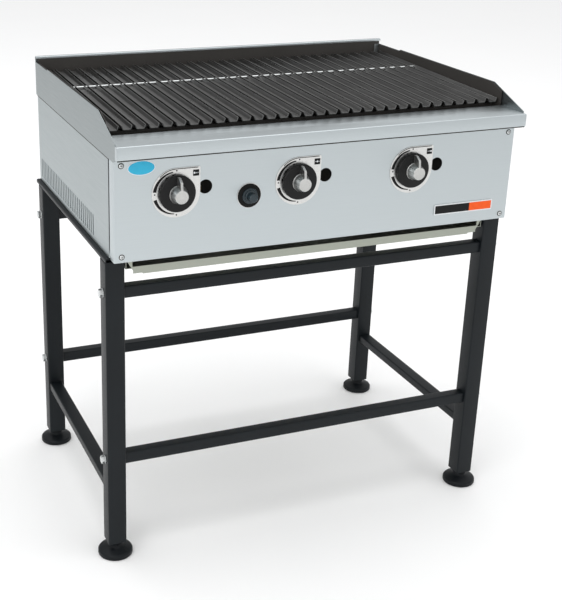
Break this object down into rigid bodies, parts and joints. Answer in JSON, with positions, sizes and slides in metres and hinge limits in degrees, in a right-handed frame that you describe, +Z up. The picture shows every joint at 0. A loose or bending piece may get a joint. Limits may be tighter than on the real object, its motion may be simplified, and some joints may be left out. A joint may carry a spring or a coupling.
{
  "type": "charbroiler grill",
  "caption": "Free-standing gas charbroiler: steel cabinet with control knobs, igniter, lift-out bar grates, grease gutter and drip tray, on a black bolt-together stand with levelling feet.",
  "frame": {"origin": "on the floor, under the middle of the object's bounding box", "axes": "+Z up, -Y towards the operator (control panel side), +X to the operator's right"},
  "size_m": [0.948, 0.663, 0.9844],
  "materials": {
    "stainless": "brushed stainless steel sheet",
    "black_paint": "fine-textured black powder coat on steel tube",
    "black_enamel": "matt black heat-resistant enamel",
    "grate_iron": "bare dark cooking steel",
    "burner_iron": "dark iron",
    "zinc": "bright zinc plate",
    "brass": "machined brass",
    "galvanised": "galvanised sheet",
    "foot_plastic": "black glass-filled nylon",
    "knob_metal": "satin metal with black disc",
    "gloss_black": "glossy black plastic",
    "badge_face": "plain printed badge"
  },
  "bodies": {
    "cabinet": {"leg_front_left": "black_paint", "bolt_front_upper_left": "zinc", "bolt_front_lower_left": "zinc", "leg_rear_left": "black_paint", "bolt_rear_upper_left": "zinc", "bolt_rear_lower_left": "zinc", "top_rail_left": "black_paint", "side_rail_left": "black_paint", "side_panel_left": "stainless", "side_guard_left": "stainless", "tray_runner_left": "galvanised", "leg_front_right": "black_paint", "bolt_front_upper_right": "zinc", "bolt_front_lower_right": "zinc", "leg_rear_right": "black_paint", "bolt_rear_upper_right": "zinc", "bolt_rear_lower_right": "zinc", "top_rail_right": "black_paint", "side_rail_right": "black_paint", "side_panel_right": "stainless", "side_guard_right": "stainless", "tray_runner_right": "galvanised", "stretcher_front_upper": "black_paint", "stretcher_front_lower": "black_paint", "stretcher_rear_upper": "black_paint", "stretcher_rear_lower": "black_paint", "control_panel": "stainless", "back_panel": "stainless", "rear_splash": "stainless", "hob_lip": "stainless", "fire_box": "black_enamel", "grease_gutter": "black_enamel", "burner_1": "burner_iron", "radiant_1": "burner_iron", "knob_bezel_1": "knob_metal", "burner_2": "burner_iron", "radiant_2": "burner_iron", "knob_bezel_2": "knob_metal", "burner_3": "burner_iron", "radiant_3": "burner_iron", "knob_bezel_3": "knob_metal", "gas_manifold": "brass", "igniter_body": "gloss_black", "badge": "badge_face"},
    "spindle_1": {"valve_spindle_1": "brass"},
    "knob_1": {"knob_1": "knob_metal"},
    "spindle_2": {"valve_spindle_2": "brass"},
    "knob_2": {"knob_2": "knob_metal"},
    "spindle_3": {"valve_spindle_3": "brass"},
    "knob_3": {"knob_3": "knob_metal"},
    "grate_1": {"grate_section_1": "grate_iron"},
    "grate_2": {"grate_section_2": "grate_iron"},
    "grate_3": {"grate_section_3": "grate_iron"},
    "grate_4": {"grate_section_4": "grate_iron"},
    "igniter_button": {"igniter_button": "gloss_black"},
    "drip_tray": {"drip_tray": "galvanised"},
    "foot_front_left": {"foot_front_left": "foot_plastic"},
    "foot_rear_left": {"foot_rear_left": "foot_plastic"},
    "foot_front_right": {"foot_front_right": "foot_plastic"},
    "foot_rear_right": {"foot_rear_right": "foot_plastic"}
  },
  "joints": [
    {"name": "burner_tap_1", "type": "hinge", "parent": "cabinet", "child": "spindle_1", "pos_m": [-0.321, -0.3005, 0.822], "axis": [0, -1, 0], "range_deg": [0, 180]},
    {"name": "knob_press_1", "type": "slide", "parent": "spindle_1", "child": "knob_1", "axis": [0, 1, 0], "range_m": [0, 0.003], "stiffness_N_per_m": 900},
    {"name": "burner_tap_2", "type": "hinge", "parent": "cabinet", "child": "spindle_2", "pos_m": [-0.061, -0.3005, 0.822], "axis": [0, -1, 0], "range_deg": [0, 180]},
    {"name": "knob_press_2", "type": "slide", "parent": "spindle_2", "child": "knob_2", "axis": [0, 1, 0], "range_m": [0, 0.003], "stiffness_N_per_m": 900},
    {"name": "burner_tap_3", "type": "hinge", "parent": "cabinet", "child": "spindle_3", "pos_m": [0.199, -0.3005, 0.822], "axis": [0, -1, 0], "range_deg": [0, 180]},
    {"name": "knob_press_3", "type": "slide", "parent": "spindle_3", "child": "knob_3", "axis": [0, 1, 0], "range_m": [0, 0.003], "stiffness_N_per_m": 900},
    {"name": "igniter_press", "type": "slide", "parent": "cabinet", "child": "igniter_button", "axis": [0, 1, 0], "range_m": [0, 0.007], "stiffness_N_per_m": 900},
    {"name": "drip_tray_slide", "type": "slide", "parent": "cabinet", "child": "drip_tray", "axis": [0, -1, 0], "range_m": [0, 0.48]},
    {"name": "grate_lift_1", "type": "slide", "parent": "cabinet", "child": "grate_1", "axis": [0, 0, 1], "range_m": [0, 0.12]},
    {"name": "grate_lift_2", "type": "slide", "parent": "cabinet", "child": "grate_2", "axis": [0, 0, 1], "range_m": [0, 0.12]},
    {"name": "grate_lift_3", "type": "slide", "parent": "cabinet", "child": "grate_3", "axis": [0, 0, 1], "range_m": [0, 0.12]},
    {"name": "grate_lift_4", "type": "slide", "parent": "cabinet", "child": "grate_4", "axis": [0, 0, 1], "range_m": [0, 0.12]},
    {"name": "foot_front_left_height", "type": "slide", "parent": "cabinet", "child": "foot_front_left", "axis": [0, 0, -1], "range_m": [0, 0.025]},
    {"name": "foot_rear_left_height", "type": "slide", "parent": "cabinet", "child": "foot_rear_left", "axis": [0, 0, -1], "range_m": [0, 0.025]},
    {"name": "foot_front_right_height", "type": "slide", "parent": "cabinet", "child": "foot_front_right", "axis": [0, 0, -1], "range_m": [0, 0.025]},
    {"name": "foot_rear_right_height", "type": "slide", "parent": "cabinet", "child": "foot_rear_right", "axis": [0, 0, -1], "range_m": [0, 0.025]}
  ]
}
